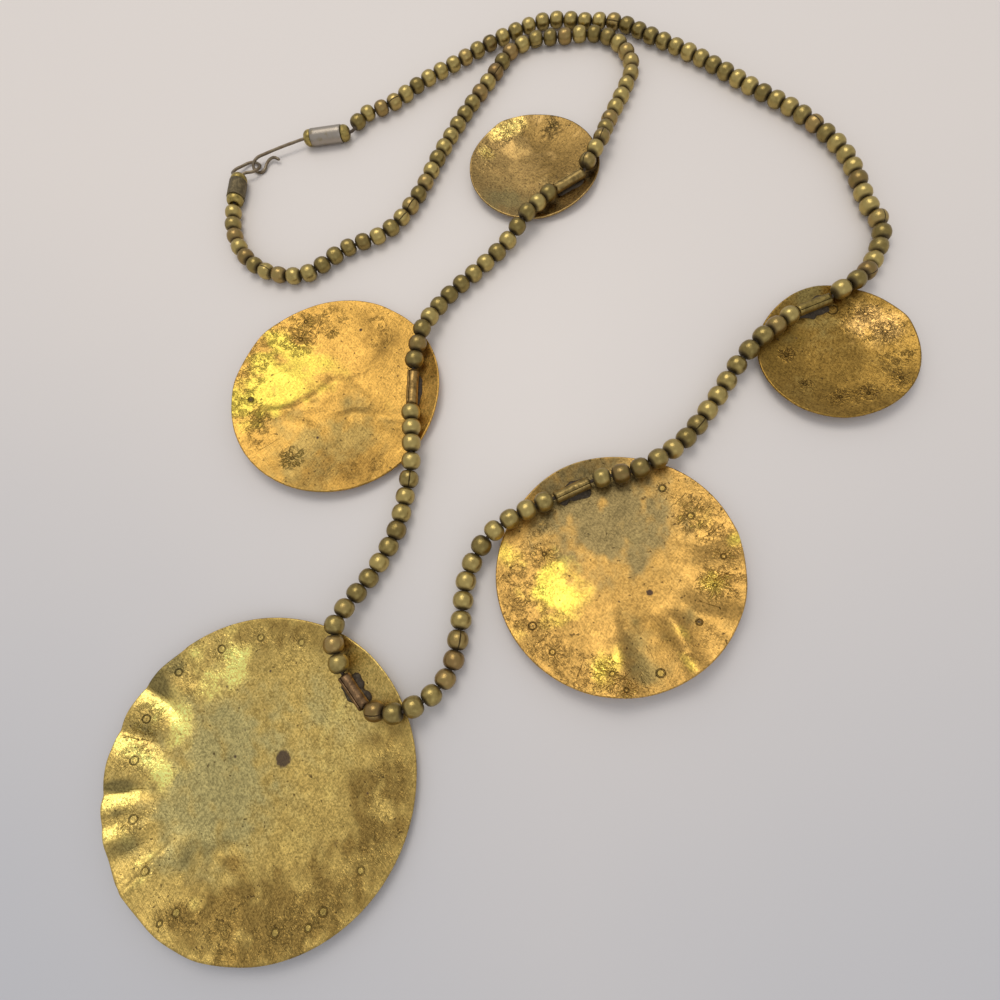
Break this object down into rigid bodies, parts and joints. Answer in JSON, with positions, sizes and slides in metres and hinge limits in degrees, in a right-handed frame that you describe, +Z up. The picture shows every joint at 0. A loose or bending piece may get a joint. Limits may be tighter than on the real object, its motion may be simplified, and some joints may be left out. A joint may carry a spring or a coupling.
{
  "type": "bib necklace",
  "caption": "Bib necklace lying flat: graduated dished brass discs with rippled rims on soldered tube bails, strung on brass barrel beads and closed by a wire hook and eye.",
  "frame": {"origin": "middle of the necklace's plan as it lies, on the surface it lies on", "axes": "+Z up from the surface, +Y away from the viewer towards the top of the loop, +X to the viewer's right"},
  "size_m": [0.231, 0.3142, 0.0096],
  "materials": {
    "sheet_brass": "hammered, patinated",
    "bead_brass": "aged",
    "nickel": "frosted",
    "dull_metal": "tarnished",
    "wire": "dull"
  },
  "bodies": {
    "root": {"pendant_large": "sheet_brass", "pendant_medium_left": "sheet_brass", "pendant_medium_right": "sheet_brass", "pendant_small_left": "sheet_brass", "pendant_small_right": "sheet_brass", "bead_string_right": "bead_brass", "bead_string_left": "bead_brass", "hook_barrel": "bead_brass", "eye_barrel": "bead_brass", "hook_sleeve": "nickel", "eye_sleeve": "dull_metal", "hook": "wire", "eye": "wire"}
  },
  "joints": []
}
